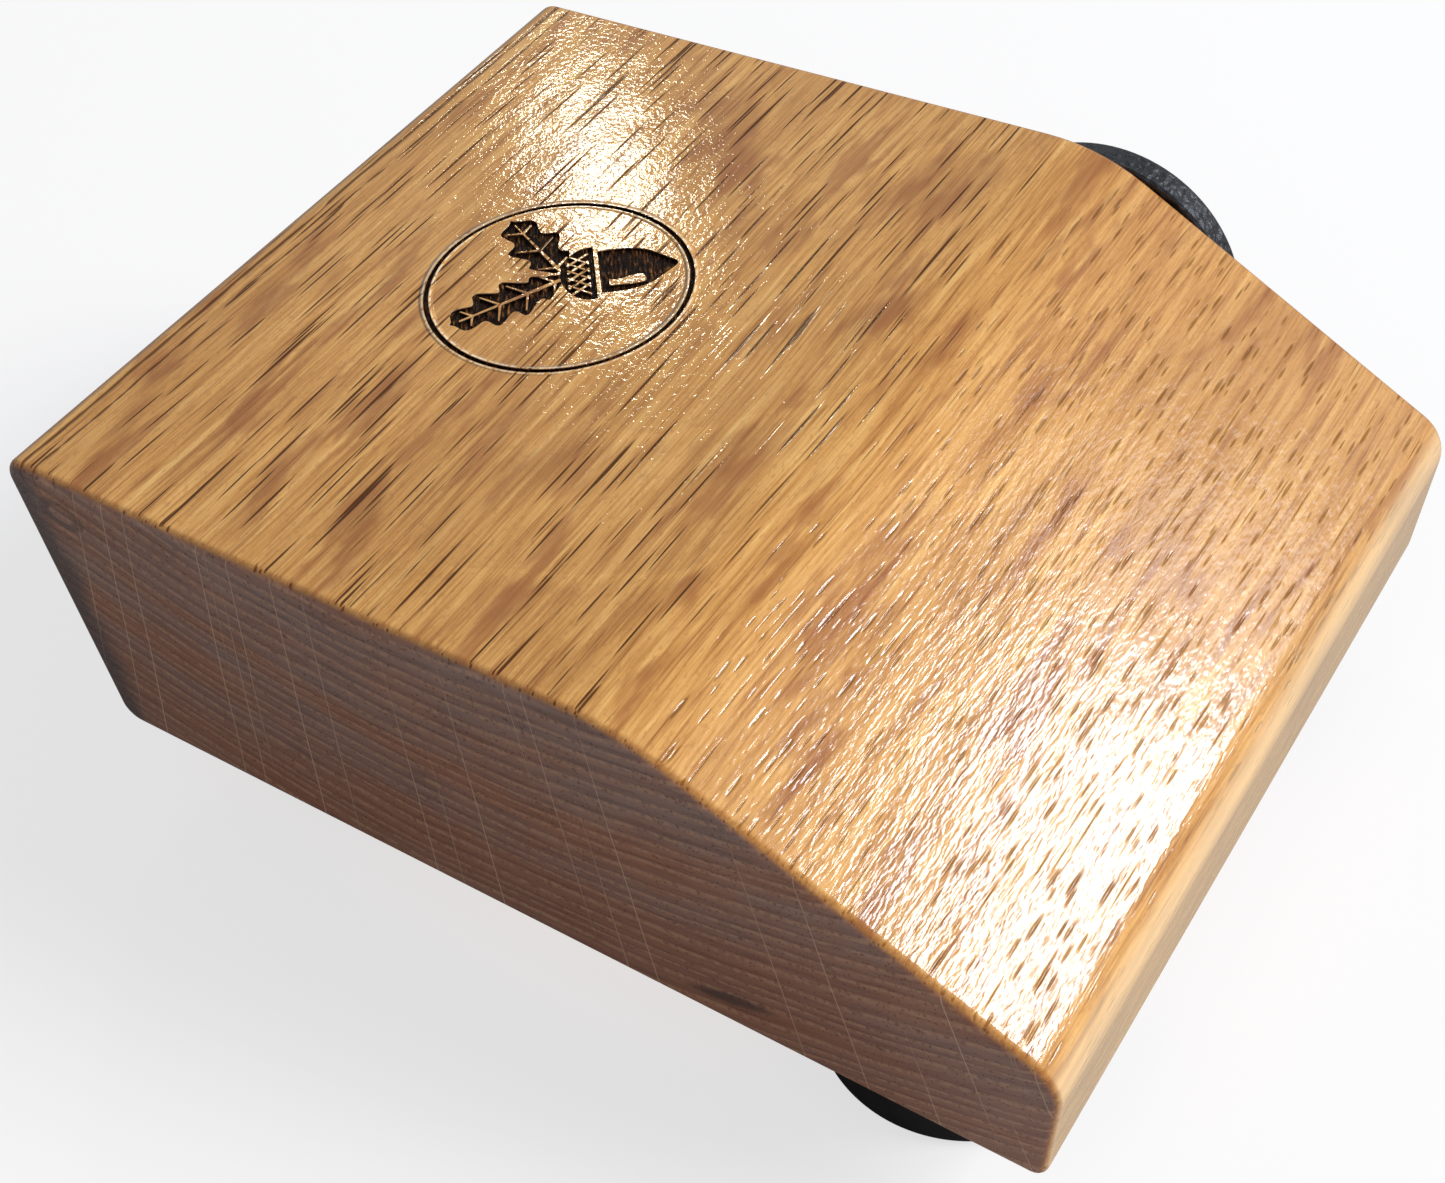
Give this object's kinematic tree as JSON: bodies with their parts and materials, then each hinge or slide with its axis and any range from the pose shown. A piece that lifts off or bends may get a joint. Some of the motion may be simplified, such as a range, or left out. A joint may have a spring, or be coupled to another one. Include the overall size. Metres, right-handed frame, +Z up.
{
  "type": "stomp box",
  "caption": "Wedge-shaped varnished oak stomp box: a foot percussion block on rubber feet, engraved on top, with a hidden pickup and a recessed jack in its side.",
  "frame": {"origin": "on the floor under the feet, below the middle of the overall envelope", "axes": "+X towards the player's right, out of the jack; -Y towards the player's toe, the thin front edge; +Z up"},
  "size_m": [0.1144, 0.137, 0.056],
  "materials": {
    "varnished_oak": "clear gloss varnish over open-pored oak",
    "birch_plywood": "sanded, thin satin varnish",
    "black_rubber": "moulded, slightly chalky",
    "black_abs": "moulded leather-grain texture",
    "zinc_steel": "bright zinc plate",
    "nickel_plate": "bright nickel plate",
    "spring_brass": "rolled brass",
    "fibre_wafer": "pressed fibre",
    "piezo_ceramic": "fired silver electrode over ceramic",
    "clear_epoxy": "cured epoxy",
    "grey_foam": "open-cell foam",
    "red_insulation": "pvc",
    "black_insulation": "pvc",
    "solder": "bright solder"
  },
  "bodies": {
    "block": {"oak_body": "varnished_oak", "cover_plate": "birch_plywood", "cover_plate_screws": "zinc_steel", "foot_front_left": "black_rubber", "foot_front_right": "black_rubber", "foot_rear_left": "black_rubber", "foot_rear_right": "black_rubber", "foot_washers": "zinc_steel", "foot_screws": "zinc_steel", "jack_cup": "black_abs", "jack_cup_screws": "zinc_steel", "jack_bushing": "nickel_plate", "jack_washer": "nickel_plate", "jack_nut": "nickel_plate", "jack_frame": "zinc_steel", "jack_insulators": "fibre_wafer", "jack_tip_plate": "spring_brass", "jack_backing_washer": "zinc_steel", "piezo_adhesive": "clear_epoxy", "piezo_disc": "spring_brass", "piezo_ceramic": "piezo_ceramic", "foam_pad": "grey_foam", "signal_wire": "red_insulation", "ground_wire": "black_insulation", "solder_joints": "solder"},
    "tip_spring": {"jack_tip_spring": "spring_brass"}
  },
  "joints": [
    {"name": "tip_spring_flex", "type": "hinge", "parent": "block", "child": "tip_spring", "pos_m": [0.0321, -0.0183, 0.04255], "axis": [0, 1, 0], "range_deg": [0, 8]}
  ]
}
